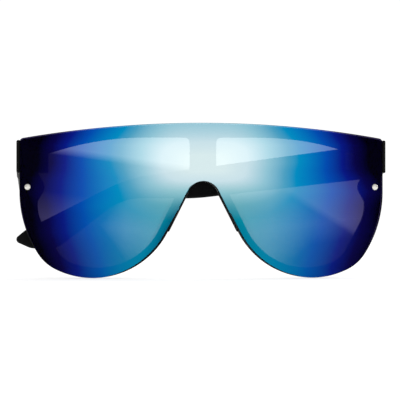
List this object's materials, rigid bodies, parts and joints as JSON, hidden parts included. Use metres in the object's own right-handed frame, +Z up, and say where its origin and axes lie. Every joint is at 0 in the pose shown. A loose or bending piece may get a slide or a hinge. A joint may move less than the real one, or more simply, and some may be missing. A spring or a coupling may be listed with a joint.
{
  "type": "shield sunglasses",
  "caption": "Shield sunglasses with a blue mirrored wraparound lens screwed to a black half frame, soft nose pads and black drop-tip arms that fold on barrel hinges.",
  "frame": {"origin": "top of the nose arch, on the back of the front frame", "axes": "+X towards the wearer's left, +Y back towards the ears, +Z up"},
  "size_m": [0.1453, 0.162, 0.0602],
  "materials": {
    "mirror_lens": "blue mirror coating on polycarbonate",
    "black_plastic": "satin black moulding",
    "polished_steel": "polished",
    "bush_plastic": "plain",
    "pad_rubber": "soft matt",
    "hinge_metal": "nickel plated"
  },
  "bodies": {
    "front": {"lens": "mirror_lens", "front_frame": "black_plastic", "lens_screw_left": "polished_steel", "lens_screw_right": "polished_steel", "lens_bush_left": "bush_plastic", "lens_bush_right": "bush_plastic", "nut_washer_left": "bush_plastic", "nut_washer_right": "bush_plastic", "cap_nut_left": "polished_steel", "cap_nut_right": "polished_steel", "nose_pad_left": "pad_rubber", "nose_pad_right": "pad_rubber", "front_hinge_left": "hinge_metal", "front_hinge_right": "hinge_metal", "hinge_screw_left": "hinge_metal", "hinge_screw_right": "hinge_metal"},
    "left_temple": {"temple_left": "black_plastic", "temple_hinge_left": "hinge_metal"},
    "right_temple": {"temple_right": "black_plastic", "temple_hinge_right": "hinge_metal"}
  },
  "joints": [
    {"name": "left_temple_hinge", "type": "hinge", "parent": "front", "child": "left_temple", "pos_m": [0.0665, 0.01698, 0.0082], "axis": [0, 0, -1], "range_deg": [0, 89]},
    {"name": "right_temple_hinge", "type": "hinge", "parent": "front", "child": "right_temple", "pos_m": [-0.0665, 0.01698, 0.0082], "axis": [0, 0, -1], "range_deg": [0, 81]}
  ]
}
